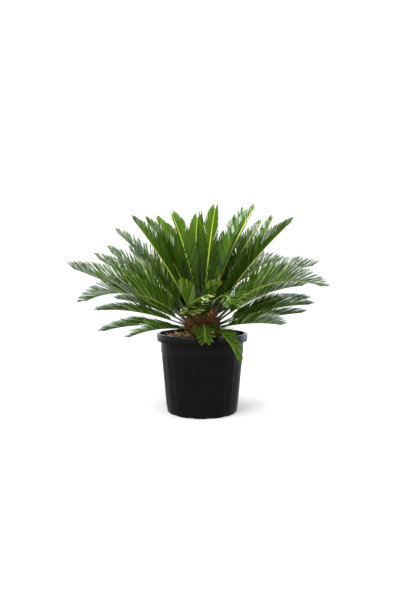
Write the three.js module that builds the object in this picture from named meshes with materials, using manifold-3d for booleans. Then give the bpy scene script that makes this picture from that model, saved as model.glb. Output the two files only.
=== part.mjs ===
// A sago palm in a round nursery pot: pot, potting mix, caudex and fifty-four fronds.
// Millimetres, +Z up, origin at the centre of the pot's flat underside.
import * as THREE from 'three';
import { mergeVertices } from 'three/addons/utils/BufferGeometryUtils.js';
import Module from 'manifold-3d';

const wasm = await Module();
wasm.setup();

// ---- driving dimensions -------------------------------------------------------------

// Clear space between pieces that rest on each other.
const SEAT_GAP = 0.3;

const pot = {
  height: 344,
  wall: 3,
  floor: 4,
  footRadius: 150,
  heelRadius: 153.5,
  heelHeight: 3,
  bodyFootRadius: 155,
  bodyFootHeight: 10,
  bodyTopRadius: 178.5,
  collarLowRadius: 181.5,
  collarTopRadius: 183.5,
  collarDepth: 52,
  collarChamfer: 3,
  rimRadius: 200,
  rimDepth: 32,
  lipWidth: 14,
  sides: 48,
};

// How far the rim's rounded edges step in from its radius and drop from its top.
const rimRound = {
  footStep: 2.5,
  innerRise: 4,
  lowDrop: 5,
  highDrop: 1.2,
  highStep: 2,
  topStep: 6,
  innerDrop: 2.5,
};

const drainSlots = {
  count: 12,
  width: 28,
  height: 9,
  depth: 14,
  aboveFloor: 1.5,
  turn: 11,
};

const soil = {
  edgeHeight: 326,
  crownHeight: 339,
  crownRadius: 92,
  swell: 2,
};

const caudex = {
  footRadius: 72,
  radius: 78,
  domeBase: 364,
  domeHeight: 85,
  sides: 24,
  domeRings: 6,
};

const crown = {
  seatRadius: 72,
  seatBase: 359,
  seatHeight: 85,
  latitudePerRise: 0.6,
  steepRise: 45,
  steepLatitude: 1.5,
  topLatitude: 80,
};

const rib = {
  baseWidth: 9,
  baseHeight: 8,
  tipWidth: 2.4,
  tipHeight: 2.6,
  petioleShare: 0.17,
  petioleSteps: 3,
  bendPower: 1.4,
  pathSteps: 60,
};

const leaflet = {
  spacing: 24,
  fewestPairs: 10,
  clearance: 0.4,
  trials: [1, 0.75, 0.5, 0.25],
  openingSpread: 24,
};

// name, azimuth, rise, length, droop, swing, leaflet length, fold, opening.
// Azimuth is counted from +X towards +Y. Rise is the angle above level at the caudex;
// droop and swing are how far the rib has turned down and sideways at its tip. Fold is
// how steeply the leaflets stand up from the rib, and opening their angle to it.
const UPRIGHT = [
  ['upright_1', 152, 58, 535, 12, 0, 118, 56, 34],
  ['upright_2', 145, 63, 505, 18, 0, 115, 56, 34],
  ['upright_3', 115, 55, 560, 14, 0, 105, 56, 34],
  ['upright_4', 119, 66, 535, 18, 0, 112, 57, 32],
  ['upright_5', 101, 61, 560, 15, -18, 112, 57, 32],
  ['upright_6', 81, 61, 600, 10, -4, 118, 57, 32],
  ['upright_7', 55, 61, 584, 12, 0, 118, 57, 33],
  ['upright_8', 43, 63, 583, 14, 0, 118, 57, 33],
  ['upright_9', 29, 50, 572, -8, 10, 110, 56, 34],
  ['upright_10', 49, 53, 605, 12, 0, 112, 54, 35],
  ['upright_11', 17, 54, 565, 14, 0, 118, 54, 36],
  ['upright_12', 133, 61, 515, 10, 0, 108, 56, 33],
];

const LEFT = [
  ['left_1', 149, 46, 460, 7, 0, 130, 54, 38],
  ['left_2', 152, 50, 565, 14, 0, 130, 54, 38],
  ['left_3', 167, 42, 478, 4, 0, 145, 56, 40],
  ['left_4', 176, 30, 560, 11, 0, 170, 57, 40],
  ['left_5', 184, 40, 478, 68, 0, 150, 54, 42],
  ['left_6', 155, 24, 392, 20, 0, 90, 44, 38],
  ['left_7', 170, 19, 420, 25, 0, 90, 40, 36],
  ['left_8', 197, 10, 360, 25, 0, 95, 34, 38],
  ['left_9', 220, 8, 305, 25, 0, 85, 34, 38],
  ['left_10', 162, 36, 525, 8, 0, 155, 56, 38],
];

const RIGHT = [
  ['right_1', 39, 50, 520, 46, 0, 150, 57, 42],
  ['right_2', 10, 44, 518, 37, 0, 150, 57, 44],
  ['right_3', 27, 32, 548, 20, 0, 140, 54, 42],
  ['right_4', 336, 46, 505, 66, 6, 145, 54, 42],
  ['right_5', 346, 38, 405, 34, 0, 120, 50, 42],
  ['right_6', 23, 21, 485, 20, 0, 115, 46, 40],
  ['right_7', 10, 20, 435, 20, 0, 110, 44, 40],
  ['right_8', 353, 14, 365, 9, 0, 105, 40, 40],
  ['right_9', 334, 13, 288, 20, 0, 100, 38, 42],
];

const FRONT = [
  ['front_1', 287, 10, 305, 70, 22, 84, 38, 32],
  ['front_2', 273, 20, 176, 90, 0, 82, 14, 60],
  ['front_3', 238, 41, 245, 22, 135, 72, -45, 60],
  ['front_4', 234, 51, 180, 6, 2, 104, 42, 38],
  ['front_5', 312, 60, 230, 110, -30, 135, 30, 62],
  ['front_6', 281, 46, 312, 38, 0, 80, 44, 42],
  ['front_7', 265, 48, 150, 60, 0, 62, -20, 55],
];

const BACK = [
  ['back_1', 64, 34, 560, 30, 0, 120, 50, 42],
  ['back_2', 80, 42, 580, 28, 0, 120, 50, 40],
  ['back_3', 99, 40, 590, 28, 0, 120, 50, 40],
  ['back_4', 126, 38, 570, 28, 0, 120, 50, 42],
  ['back_5', 70, 16, 520, 28, 0, 115, 46, 42],
  ['back_6', 90, 22, 550, 30, 0, 115, 46, 42],
  ['back_7', 110, 18, 530, 28, 0, 115, 46, 42],
  ['back_8', 133, 24, 540, 26, 0, 115, 46, 42],
  ['back_9', 82, 2, 430, 26, 0, 105, 40, 42],
  ['back_10', 101, 2, 440, 26, 0, 105, 40, 42],
  ['back_11', 69, 51, 520, 8, 0, 115, 54, 36],
  ['back_12', 91, 57, 600, 8, 0, 115, 54, 36],
  ['back_13', 126, 50, 470, 8, 0, 115, 54, 36],
];

const HEART = [
  ['heart_1', 90, 76, 265, 6, 0, 90, 56, 28],
  ['heart_2', 205, 74, 235, 6, 0, 80, 56, 28],
  ['heart_3', 330, 75, 245, 6, 0, 85, 56, 28],
];

const FRONDS = [...UPRIGHT, ...LEFT, ...RIGHT, ...FRONT, ...HEART, ...BACK];

// Rows of leaf-base scales. Each height is above the caudex's foot, and tilt is the
// angle above level at which a scale stands.
const scales = {
  width: 20,
  depth: 7,
  sunk: 5,
  clearance: 1,
  turnPerRow: 7,
  rows: [
    { height: 5, radius: 74, count: 17, length: 30, tilt: 48 },
    { height: 18, radius: 76, count: 16, length: 34, tilt: 56 },
    { height: 33, radius: 77, count: 15, length: 34, tilt: 64 },
    { height: 48, radius: 72, count: 14, length: 34, tilt: 72 },
    { height: 64, radius: 63, count: 12, length: 36, tilt: 76 },
    { height: 95, radius: 38, count: 8, length: 40, tilt: 78 },
    { height: 103, radius: 18, count: 5, length: 46, tilt: 84 },
  ],
};

const colours = {
  pot: new THREE.MeshStandardMaterial({ color: 0x1b1c1e, roughness: 0.45, metalness: 0 }),
  soil: new THREE.MeshStandardMaterial({ color: 0x4a3626, roughness: 1, metalness: 0 }),
  caudex: new THREE.MeshStandardMaterial({ color: 0x7a4326, roughness: 0.95, metalness: 0 }),
  frond: new THREE.MeshStandardMaterial({ color: 0x3f6b22, roughness: 0.5, metalness: 0 }),
};

// ---- small helpers ------------------------------------------------------------------

const radians = THREE.MathUtils.degToRad;

function polar(radius, azimuth, height) {
  const a = radians(azimuth);
  return new THREE.Vector3(radius * Math.cos(a), radius * Math.sin(a), height);
}

function geometryFrom(points, faces) {
  const geometry = new THREE.BufferGeometry();
  const flat = points.flatMap((p) => [p.x, p.y, p.z]);
  geometry.setAttribute('position', new THREE.Float32BufferAttribute(flat, 3));
  geometry.setIndex(faces.flat());
  return geometry;
}

function solidFrom(geometry) {
  const bare = geometry.clone();
  bare.deleteAttribute('normal');
  bare.deleteAttribute('uv');
  const merged = mergeVertices(bare, 1e-4);
  return new wasm.Manifold(new wasm.Mesh({
    numProp: 3,
    vertProperties: new Float32Array(merged.attributes.position.array),
    triVerts: new Uint32Array(merged.index.array),
  }));
}

function geometryOf(solid) {
  const mesh = solid.getMesh();
  const geometry = new THREE.BufferGeometry();
  geometry.setAttribute('position', new THREE.BufferAttribute(mesh.vertProperties, 3));
  geometry.setIndex(new THREE.BufferAttribute(mesh.triVerts, 1));
  geometry.computeVertexNormals();
  return geometry;
}

// A profile of [radius, height] pairs turned about the Z axis.
function turned(profile, sides) {
  const outline = profile.map(([radius, height]) => new THREE.Vector2(radius, height));
  const geometry = new THREE.LatheGeometry(outline, sides);
  geometry.rotateX(Math.PI / 2);
  return geometry;
}

// ---- convex pieces and the clearance between them --------------------------------------

// faces are loops of vertex numbers; edges are pairs of them.
function convexPiece(points, faces, edges) {
  return {
    points,
    normals: faces.map(([a, b, c]) => {
      const side = points[b].clone().sub(points[a]);
      return side.cross(points[c].clone().sub(points[a])).normalize();
    }),
    edges: edges.map(([a, b]) => points[b].clone().sub(points[a]).normalize()),
    box: new THREE.Box3().setFromPoints(points),
  };
}

function gapAlong(axis, a, b) {
  let lowA = Infinity;
  let highA = -Infinity;
  let lowB = Infinity;
  let highB = -Infinity;
  for (const p of a.points) {
    const d = p.dot(axis);
    lowA = Math.min(lowA, d);
    highA = Math.max(highA, d);
  }
  for (const p of b.points) {
    const d = p.dot(axis);
    lowB = Math.min(lowB, d);
    highB = Math.max(highB, d);
  }
  return Math.max(lowB - highA, lowA - highB);
}

// True when some plane keeps the two pieces at least the clearance apart.
function apart(a, b, clearance) {
  const reach = a.box.clone().expandByScalar(clearance);
  if (!reach.intersectsBox(b.box)) return true;
  for (const axis of [...a.normals, ...b.normals]) {
    if (gapAlong(axis, a, b) > clearance) return true;
  }
  for (const edgeA of a.edges) {
    for (const edgeB of b.edges) {
      const axis = edgeA.clone().cross(edgeB);
      if (axis.lengthSq() < 1e-6) continue;
      if (gapAlong(axis.normalize(), a, b) > clearance) return true;
    }
  }
  return false;
}

const PRISM_FACES = [[0, 1, 2], [3, 5, 4], [0, 3, 4], [1, 4, 5], [2, 5, 3]];
const PRISM_EDGES = [[0, 1], [1, 2], [2, 0], [3, 4], [4, 5], [5, 3], [0, 3], [1, 4], [2, 5]];
const SPIKE_FACES = [[0, 1, 2], [0, 1, 4], [1, 2, 4], [2, 3, 4], [3, 0, 4]];
const SPIKE_EDGES = [[0, 1], [1, 2], [2, 3], [3, 0], [0, 4], [1, 4], [2, 4], [3, 4]];
const BLOCK_FACES = [[0, 1, 2], [4, 5, 6], [0, 1, 5], [1, 2, 6], [2, 3, 7], [3, 0, 4]];
const BLOCK_EDGES = [
  [0, 1], [1, 2], [2, 3], [3, 0], [4, 5], [5, 6], [6, 7], [7, 4], [0, 4], [1, 5], [2, 6], [3, 7],
];

// ---- pot and potting mix --------------------------------------------------------------

const rimFoot = pot.height - pot.rimDepth;
const rimInnerFoot = rimFoot + rimRound.innerRise;
const collarFoot = rimFoot - pot.collarDepth;
const bodyTop = collarFoot - pot.collarChamfer;
const lipRadius = pot.rimRadius - pot.lipWidth;

// The inner face of the pot from its floor up to the rim, moved in by the given gap.
function innerWall(gap) {
  const inset = pot.wall + gap;
  return [
    [pot.bodyFootRadius - inset, pot.floor + gap],
    [pot.bodyTopRadius - inset, bodyTop],
    [pot.collarLowRadius - inset, collarFoot],
    [pot.collarTopRadius - inset, rimInnerFoot],
  ];
}

function drainSlot(azimuth) {
  const slot = new THREE.BoxGeometry(drainSlots.depth, drainSlots.width, drainSlots.height);
  const middle = pot.floor + drainSlots.aboveFloor + drainSlots.height / 2;
  slot.translate(pot.bodyFootRadius - pot.wall / 2, 0, middle);
  slot.rotateZ(radians(azimuth));
  return solidFrom(slot);
}

function potSolid() {
  const profile = [
    [0, 0],
    [pot.footRadius, 0],
    [pot.heelRadius, pot.heelHeight],
    [pot.bodyFootRadius, pot.bodyFootHeight],
    [pot.bodyTopRadius, bodyTop],
    [pot.collarLowRadius, collarFoot],
    [pot.collarTopRadius, rimFoot],
    [pot.rimRadius - rimRound.footStep, rimFoot],
    [pot.rimRadius, rimInnerFoot],
    [pot.rimRadius, pot.height - rimRound.lowDrop],
    [pot.rimRadius - rimRound.highStep, pot.height - rimRound.highDrop],
    [pot.rimRadius - rimRound.topStep, pot.height],
    [lipRadius + rimRound.highStep, pot.height],
    [lipRadius, pot.height - rimRound.innerDrop],
    ...innerWall(0).reverse(),
    [0, pot.floor],
  ];
  let solid = solidFrom(turned(profile, pot.sides));
  for (let i = 0; i < drainSlots.count; i += 1) {
    solid = solid.subtract(drainSlot(drainSlots.turn + (360 / drainSlots.count) * i));
  }
  return solid;
}

// The mix fills the pot to just under its rim and rises in a low mound to the caudex.
function soilGeometry() {
  const wall = innerWall(SEAT_GAP);
  const [topRadius, topHeight] = wall[wall.length - 1];
  const share = (soil.edgeHeight - topHeight) / (pot.height - rimRound.innerDrop - topHeight);
  const edgeRadius = THREE.MathUtils.lerp(topRadius, lipRadius - SEAT_GAP, share);
  const swellHeight = (soil.edgeHeight + soil.crownHeight) / 2 + soil.swell;
  return turned([
    [0, pot.floor + SEAT_GAP],
    ...wall,
    [edgeRadius, soil.edgeHeight],
    [(edgeRadius + soil.crownRadius) / 2, swellHeight],
    [soil.crownRadius, soil.crownHeight],
    [0, soil.crownHeight],
  ], pot.sides);
}

// The rim as convex blocks, for keeping leaflets off it.
function rimBlocks() {
  const blocks = [];
  const turn = 360 / pot.sides;
  for (let i = 0; i < pot.sides; i += 1) {
    const corners = [];
    for (const height of [collarFoot, pot.height]) {
      corners.push(polar(lipRadius, turn * i, height));
      corners.push(polar(pot.rimRadius, turn * i, height));
      corners.push(polar(pot.rimRadius, turn * (i + 1), height));
      corners.push(polar(lipRadius, turn * (i + 1), height));
    }
    blocks.push(convexPiece(corners, BLOCK_FACES, BLOCK_EDGES));
  }
  return blocks;
}

// ---- fronds ---------------------------------------------------------------------------

function seatPoint(azimuth, rise) {
  const steepness = Math.max(0, rise - crown.steepRise);
  const climb = rise * crown.latitudePerRise + steepness * crown.steepLatitude;
  const latitude = radians(Math.min(crown.topLatitude, climb));
  const height = crown.seatBase + crown.seatHeight * Math.sin(latitude);
  return polar(crown.seatRadius * Math.cos(latitude), azimuth, height);
}

// The rib's line as evenly spaced points, from the caudex to the tip.
function ribLine(azimuth, rise, length, droop, swing) {
  const points = [seatPoint(azimuth, rise)];
  const step = length / rib.pathSteps;
  for (let i = 0; i < rib.pathSteps; i += 1) {
    const bend = ((i + 0.5) / rib.pathSteps) ** rib.bendPower;
    const climb = radians(rise - droop * bend);
    const stride = polar(Math.cos(climb), azimuth + swing * bend, Math.sin(climb));
    points.push(points[i].clone().addScaledVector(stride, step));
  }
  return points;
}

// A place along the rib's line, with its tangent, right side and up.
function stationAt(line, share) {
  const place = share * rib.pathSteps;
  const i = Math.min(Math.floor(place), rib.pathSteps - 1);
  const tangent = line[i + 1].clone().sub(line[i]).normalize();
  const point = line[i].clone().lerp(line[i + 1], place - i);
  const level = new THREE.Vector3(0, 0, 1);
  const right = tangent.clone().cross(level).normalize();
  const up = right.clone().cross(tangent);
  return { point, tangent, right, up };
}

function ribCorners(station, share) {
  const width = THREE.MathUtils.lerp(rib.baseWidth, rib.tipWidth, share);
  const height = THREE.MathUtils.lerp(rib.baseHeight, rib.tipHeight, share);
  const top = station.point.clone().addScaledVector(station.up, height / 2);
  return [
    top.clone().addScaledVector(station.right, -width / 2),
    top.clone().addScaledVector(station.right, width / 2),
    station.point.clone().addScaledVector(station.up, -height / 2),
  ];
}

// Leaflets start short above the petiole, are longest mid-blade and shorter at the tip.
function leafletLength(longest, u) {
  return longest * Math.min(1, 0.3 + 2.4 * u) * (1 - 0.62 * u ** 3);
}

function leafletDirection(station, side, fold, opening, u) {
  const open = radians(opening + leaflet.openingSpread * (0.5 - u));
  const lift = radians(fold);
  const across = station.right.clone().multiplyScalar(side * Math.cos(lift));
  across.addScaledVector(station.up, Math.sin(lift));
  const forward = station.tangent.clone().multiplyScalar(Math.cos(open));
  return forward.addScaledVector(across, Math.sin(open));
}

// A frond's plan: its rib's sections, and for every leaflet the four rib corners that it
// stands on, its direction and its length.
function frondPlan(row) {
  const [name, azimuth, rise, length, droop, swing, longest, fold, opening] = row;
  const line = ribLine(azimuth, rise, length, droop, swing);
  const bladeLength = length * (1 - rib.petioleShare);
  const pairs = Math.max(leaflet.fewestPairs, Math.round(bladeLength / leaflet.spacing));
  const shares = [];
  for (let i = 0; i < rib.petioleSteps; i += 1) {
    shares.push((rib.petioleShare * i) / rib.petioleSteps);
  }
  for (let i = 0; i <= pairs; i += 1) {
    shares.push(THREE.MathUtils.lerp(rib.petioleShare, 1, i / pairs));
  }
  const stations = shares.map((share) => stationAt(line, share));
  const sections = stations.map((station, i) => ribCorners(station, shares[i]));
  const blades = [];
  for (let i = rib.petioleSteps; i < sections.length - 1; i += 1) {
    const u = (i - rib.petioleSteps + 0.5) / pairs;
    const middle = stationAt(line, (shares[i] + shares[i + 1]) / 2);
    for (const side of [-1, 1]) {
      const [left, right, keel] = sections[i];
      const [nextLeft, nextRight, nextKeel] = sections[i + 1];
      const foot = side < 0
        ? [left, nextLeft, nextKeel, keel]
        : [right, keel, nextKeel, nextRight];
      const centre = new THREE.Vector3();
      foot.forEach((corner) => centre.addScaledVector(corner, 0.25));
      blades.push({
        section: i,
        side,
        foot,
        centre,
        direction: leafletDirection(middle, side, fold, opening, u),
        length: leafletLength(longest, u),
      });
    }
  }
  return { name: `frond_${name}`, line, sections, blades };
}

function ribPieces(plan) {
  const pieces = [];
  for (let i = 0; i < plan.sections.length - 1; i += 1) {
    const corners = [...plan.sections[i], ...plan.sections[i + 1]];
    pieces.push(convexPiece(corners, PRISM_FACES, PRISM_EDGES));
  }
  return pieces;
}

function leafletPiece(blade, share) {
  const point = blade.centre.clone().addScaledVector(blade.direction, blade.length * share);
  return { point, piece: convexPiece([...blade.foot, point], SPIKE_FACES, SPIKE_EDGES) };
}

// Each leaflet keeps the longest of its trial lengths that is clear of all that stands
// near it; one that is clear at none of them is left off.
function settleLeaflets(plans, obstacles) {
  const ribs = plans.map(ribPieces);
  const settled = plans.map(() => []);
  plans.forEach((plan, own) => {
    for (const blade of plan.blades) {
      const reach = leafletPiece(blade, 1).piece.box;
      const near = [];
      plans.forEach((other, k) => {
        if (k === own) return;
        near.push(...ribs[k].filter((piece) => piece.box.intersectsBox(reach)));
        near.push(...settled[k].filter((piece) => piece.box.intersectsBox(reach)));
      });
      near.push(...obstacles.filter((piece) => piece.box.intersectsBox(reach)));
      for (const share of leaflet.trials) {
        const trial = leafletPiece(blade, share);
        if (near.every((piece) => apart(trial.piece, piece, leaflet.clearance))) {
          blade.point = trial.point;
          settled[own].push(trial.piece);
          break;
        }
      }
    }
  });
}

function frondGeometry(plan) {
  const points = plan.sections.flat();
  const faces = [];
  const quad = (a, b, c, d) => faces.push([a, b, c], [a, c, d]);
  const left = (i) => 3 * i;
  const right = (i) => 3 * i + 1;
  const keel = (i) => 3 * i + 2;
  const last = plan.sections.length - 1;
  for (let i = 0; i < last; i += 1) {
    quad(left(i), right(i), right(i + 1), left(i + 1));
    for (const side of [-1, 1]) {
      const foot = side < 0
        ? [left(i), left(i + 1), keel(i + 1), keel(i)]
        : [right(i), keel(i), keel(i + 1), right(i + 1)];
      const blade = plan.blades.find((b) => b.section === i && b.side === side);
      if (blade && blade.point) {
        const tip = points.push(blade.point) - 1;
        foot.forEach((corner, k) => faces.push([corner, foot[(k + 1) % 4], tip]));
      } else {
        quad(...foot);
      }
    }
  }
  faces.push([right(0), left(0), keel(0)], [left(last), right(last), keel(last)]);
  return geometryFrom(points, faces);
}

// ---- caudex ---------------------------------------------------------------------------

const caudexFoot = soil.crownHeight + SEAT_GAP;

function caudexCore() {
  const profile = [[0, caudexFoot], [caudex.footRadius, caudexFoot]];
  for (let i = 0; i < caudex.domeRings; i += 1) {
    const latitude = (Math.PI / 2) * (i / caudex.domeRings);
    const height = caudex.domeBase + caudex.domeHeight * Math.sin(latitude);
    profile.push([caudex.radius * Math.cos(latitude), height]);
  }
  profile.push([0, caudex.domeBase + caudex.domeHeight]);
  return solidFrom(turned(profile, caudex.sides));
}

function scalePiece(row, azimuth) {
  const outward = polar(1, azimuth, 0);
  const across = polar(1, azimuth + 90, 0);
  const tilt = radians(row.tilt);
  const along = outward.clone().multiplyScalar(Math.cos(tilt));
  along.z = Math.sin(tilt);
  const thick = outward.clone().multiplyScalar(Math.sin(tilt));
  thick.z = -Math.cos(tilt);
  const foot = polar(row.radius - scales.sunk, azimuth, caudexFoot + row.height);
  const diamond = [[-0.5, 0], [0, 0.5], [0.5, 0], [0, -0.5]];
  const corners = diamond.map(([w, d]) => foot.clone()
    .addScaledVector(across, w * scales.width)
    .addScaledVector(thick, d * scales.depth));
  corners.push(foot.clone().addScaledVector(along, row.length));
  return convexPiece(corners, SPIKE_FACES, SPIKE_EDGES);
}

function scaleSolid(piece) {
  const faces = [[0, 2, 1], [0, 3, 2], [0, 1, 4], [1, 2, 4], [2, 3, 4], [3, 0, 4]];
  return solidFrom(geometryFrom(piece.points, faces));
}

// Scales stand in turned rows, and one that would touch a petiole is left off.
function caudexSolid(petioles) {
  let solid = caudexCore();
  scales.rows.forEach((row, k) => {
    for (let i = 0; i < row.count; i += 1) {
      const azimuth = (360 / row.count) * (i + 0.5 * (k % 2)) + scales.turnPerRow * k;
      const piece = scalePiece(row, azimuth);
      if (petioles.every((petiole) => apart(piece, petiole, scales.clearance))) {
        solid = solid.add(scaleSolid(piece));
      }
    }
  });
  return solid;
}

// ---- assembly ---------------------------------------------------------------------------

const plant = new THREE.Group();

function addPart(name, geometry, material) {
  const mesh = new THREE.Mesh(geometry, material);
  mesh.name = name;
  plant.add(mesh);
}

const plans = FRONDS.map(frondPlan);
settleLeaflets(plans, rimBlocks());
const petioles = plans.flatMap((plan) => ribPieces(plan).slice(0, rib.petioleSteps + 2));
const trunk = caudexSolid(petioles);

// The trunk grown about its middle, to cut each petiole's foot back to its surface. It
// grows by more than the seat gap so that the slanted faces of its scales keep it too.
const slantMargin = 1.6;
const growth = 1 + (slantMargin * SEAT_GAP) / caudex.radius;
const middle = [0, 0, caudex.domeBase];
const cutter = trunk.translate(middle.map((c) => -c)).scale(growth).translate(middle);

addPart('pot', geometryOf(potSolid()), colours.pot);
addPart('potting_mix', soilGeometry(), colours.soil);
addPart('caudex', geometryOf(trunk), colours.caudex);
for (const plan of plans) {
  const frond = solidFrom(frondGeometry(plan)).subtract(cutter);
  addPart(plan.name, geometryOf(frond), colours.frond);
}

export default plant;
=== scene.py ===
"""A sago palm in a black nursery pot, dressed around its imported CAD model. Metres, +Z up."""
import math
from collections import namedtuple

import bpy
import numpy as np
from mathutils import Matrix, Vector, noise


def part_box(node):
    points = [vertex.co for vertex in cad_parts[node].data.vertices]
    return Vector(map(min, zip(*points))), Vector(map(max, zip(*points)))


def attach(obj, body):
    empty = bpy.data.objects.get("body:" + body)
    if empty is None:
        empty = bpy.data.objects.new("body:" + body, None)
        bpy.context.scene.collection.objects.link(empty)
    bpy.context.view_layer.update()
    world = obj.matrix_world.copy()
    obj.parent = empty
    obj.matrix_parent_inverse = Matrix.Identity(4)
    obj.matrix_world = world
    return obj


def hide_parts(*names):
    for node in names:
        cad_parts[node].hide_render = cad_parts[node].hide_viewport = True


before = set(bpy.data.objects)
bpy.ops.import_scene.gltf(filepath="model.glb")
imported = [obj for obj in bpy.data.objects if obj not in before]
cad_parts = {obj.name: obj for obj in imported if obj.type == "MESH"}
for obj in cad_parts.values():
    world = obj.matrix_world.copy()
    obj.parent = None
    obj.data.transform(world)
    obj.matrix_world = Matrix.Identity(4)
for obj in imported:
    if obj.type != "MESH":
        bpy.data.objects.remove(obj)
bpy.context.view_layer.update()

MM = 0.001
SEED = 2406
rng = np.random.default_rng(SEED)

# ---- camera, floor and light ----

PHOTO_WIDTH, PHOTO_HEIGHT = 401, 601
FOCAL_PIXELS = 500
SENSOR = 36.0
EYE = (-0.0075, -2.2, 0.584)
PITCH_DOWN = 2.55
FLOOR_RADIUS, FLOOR_SIDES = 40.0, 96
FLOOR_PAPER = ((0.84, 0.84, 0.84), 0.90, 0.0)
WHITE, GROUND_GLOW = (1.0, 1.0, 1.0), (0.30, 0.30, 0.28)
WORLD_STRENGTH = 1.45
# Where the ground's glow turns to white: 0 is straight down, 0.5 level and 1 straight up.
GLOW_END, WHITE_START = 0.40, 0.46

Lamp = namedtuple("Lamp", "name place target size watts colour")

LAMPS = (
    Lamp("key", (-1.6, -2.4, 2.9), (0, 0, 0.5), size=2.8, watts=88, colour=WHITE),
    Lamp("top", (0.6, 0.4, 3.2), (0, 0, 0.6), size=1.5, watts=60, colour=WHITE),
    Lamp("edge", (2.4, 1.5, 0.25), (0, 0, 0.3), size=1.4, watts=9, colour=(0.66, 0.80, 1.0)),
)


def add_camera():
    data = bpy.data.cameras.new("camera")
    data.sensor_width = SENSOR
    data.lens = FOCAL_PIXELS / max(PHOTO_WIDTH, PHOTO_HEIGHT) * SENSOR
    camera = bpy.data.objects.new("camera", data)
    camera.location = EYE
    camera.rotation_euler = (math.radians(90 - PITCH_DOWN), 0, 0)
    bpy.context.collection.objects.link(camera)
    bpy.context.scene.camera = camera


def add_lamp(lamp):
    data = bpy.data.lights.new(lamp.name, "AREA")
    data.shape = "DISK"
    data.size = lamp.size
    data.energy = lamp.watts
    data.color = lamp.colour
    light = bpy.data.objects.new(lamp.name, data)
    light.location = lamp.place
    light.visible_camera = False
    aim = Vector(lamp.target) - Vector(lamp.place)
    light.rotation_euler = aim.to_track_quat("-Z", "Y").to_euler()
    bpy.context.collection.objects.link(light)


def add_world():
    """White all round, and dark below the floor, so that little light comes from there."""
    world = bpy.data.worlds.new("studio")
    world.use_nodes = True
    nodes, links = world.node_tree.nodes, world.node_tree.links
    coordinates = nodes.new("ShaderNodeTexCoord")
    parts = nodes.new("ShaderNodeSeparateXYZ")
    stops = [(0.0, GROUND_GLOW), (GLOW_END, GROUND_GLOW), (WHITE_START, WHITE), (1.0, WHITE)]
    ramp = ramp_node(nodes, stops)
    height = nodes.new("ShaderNodeMapRange")
    height.inputs["From Min"].default_value = -1.0
    links.new(coordinates.outputs["Generated"], parts.inputs["Vector"])
    links.new(parts.outputs["Z"], height.inputs["Value"])
    links.new(height.outputs["Result"], ramp.inputs["Fac"])
    links.new(ramp.outputs["Color"], nodes["Background"].inputs["Color"])
    nodes["Background"].inputs["Strength"].default_value = WORLD_STRENGTH
    bpy.context.scene.world = world


def add_studio():
    add_world()
    bpy.context.scene.view_settings.view_transform = "Standard"
    for lamp in LAMPS:
        add_lamp(lamp)
    bpy.ops.mesh.primitive_circle_add(vertices=FLOOR_SIDES, radius=FLOOR_RADIUS, fill_type="NGON")
    floor = bpy.context.object
    floor.name = "floor"
    floor.data.materials.append(plain_material("floor_paper", *FLOOR_PAPER))
    floor.visible_diffuse = False
    floor.visible_glossy = False


# ---- materials ----

# A patterned material takes its colour and roughness from a broad noise, and its bump from
# one that is finer by BUMP_FINENESS. Roughness runs between two values of the broad noise.
NOISE_LOW, NOISE_HIGH = 0.3, 0.7
BROAD_DETAIL, BUMP_DETAIL, BUMP_FINENESS = 6, 3, 9


def plain_material(name, colour, roughness, specular):
    material = bpy.data.materials.new(name)
    material.use_nodes = True
    shader = material.node_tree.nodes["Principled BSDF"]
    shader.inputs["Base Color"].default_value = (*colour, 1.0)
    shader.inputs["Roughness"].default_value = roughness
    shader.inputs["Specular IOR Level"].default_value = specular
    return material


def ramp_node(nodes, stops):
    ramp = nodes.new("ShaderNodeValToRGB")
    ramp.color_ramp.elements[0].position = stops[0][0]
    ramp.color_ramp.elements[0].color = (*stops[0][1], 1.0)
    ramp.color_ramp.elements[1].position = stops[-1][0]
    ramp.color_ramp.elements[1].color = (*stops[-1][1], 1.0)
    for place, colour in stops[1:-1]:
        ramp.color_ramp.elements.new(place).color = (*colour, 1.0)
    return ramp


def noise_node(tree, scale, detail):
    """A noise texture on the object's own coordinates, with its scale per metre."""
    coordinates = tree.nodes.new("ShaderNodeTexCoord")
    texture = tree.nodes.new("ShaderNodeTexNoise")
    texture.inputs["Scale"].default_value = scale
    texture.inputs["Detail"].default_value = detail
    tree.links.new(coordinates.outputs["Object"], texture.inputs["Vector"])
    return texture


def patterned_material(name, stops, scale, roughness, specular, bump):
    """Stops are (noise, colour) pairs, roughness is a range and bump is in metres."""
    material = plain_material(name, stops[0][1], roughness[0], specular)
    tree = material.node_tree
    shader = tree.nodes["Principled BSDF"]
    broad = noise_node(tree, scale, BROAD_DETAIL)
    ramp = ramp_node(tree.nodes, stops)
    tree.links.new(broad.outputs["Fac"], ramp.inputs["Fac"])
    tree.links.new(ramp.outputs["Color"], shader.inputs["Base Color"])
    spread = tree.nodes.new("ShaderNodeMapRange")
    spread.inputs["From Min"].default_value = NOISE_LOW
    spread.inputs["From Max"].default_value = NOISE_HIGH
    spread.inputs["To Min"].default_value = roughness[0]
    spread.inputs["To Max"].default_value = roughness[1]
    tree.links.new(broad.outputs["Fac"], spread.inputs["Value"])
    tree.links.new(spread.outputs["Result"], shader.inputs["Roughness"])
    fine = noise_node(tree, scale * BUMP_FINENESS, BUMP_DETAIL)
    relief = tree.nodes.new("ShaderNodeBump")
    relief.inputs["Strength"].default_value = 1.0
    relief.inputs["Distance"].default_value = bump
    tree.links.new(fine.outputs["Fac"], relief.inputs["Height"])
    tree.links.new(relief.outputs["Normal"], shader.inputs["Normal"])
    return material


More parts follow.
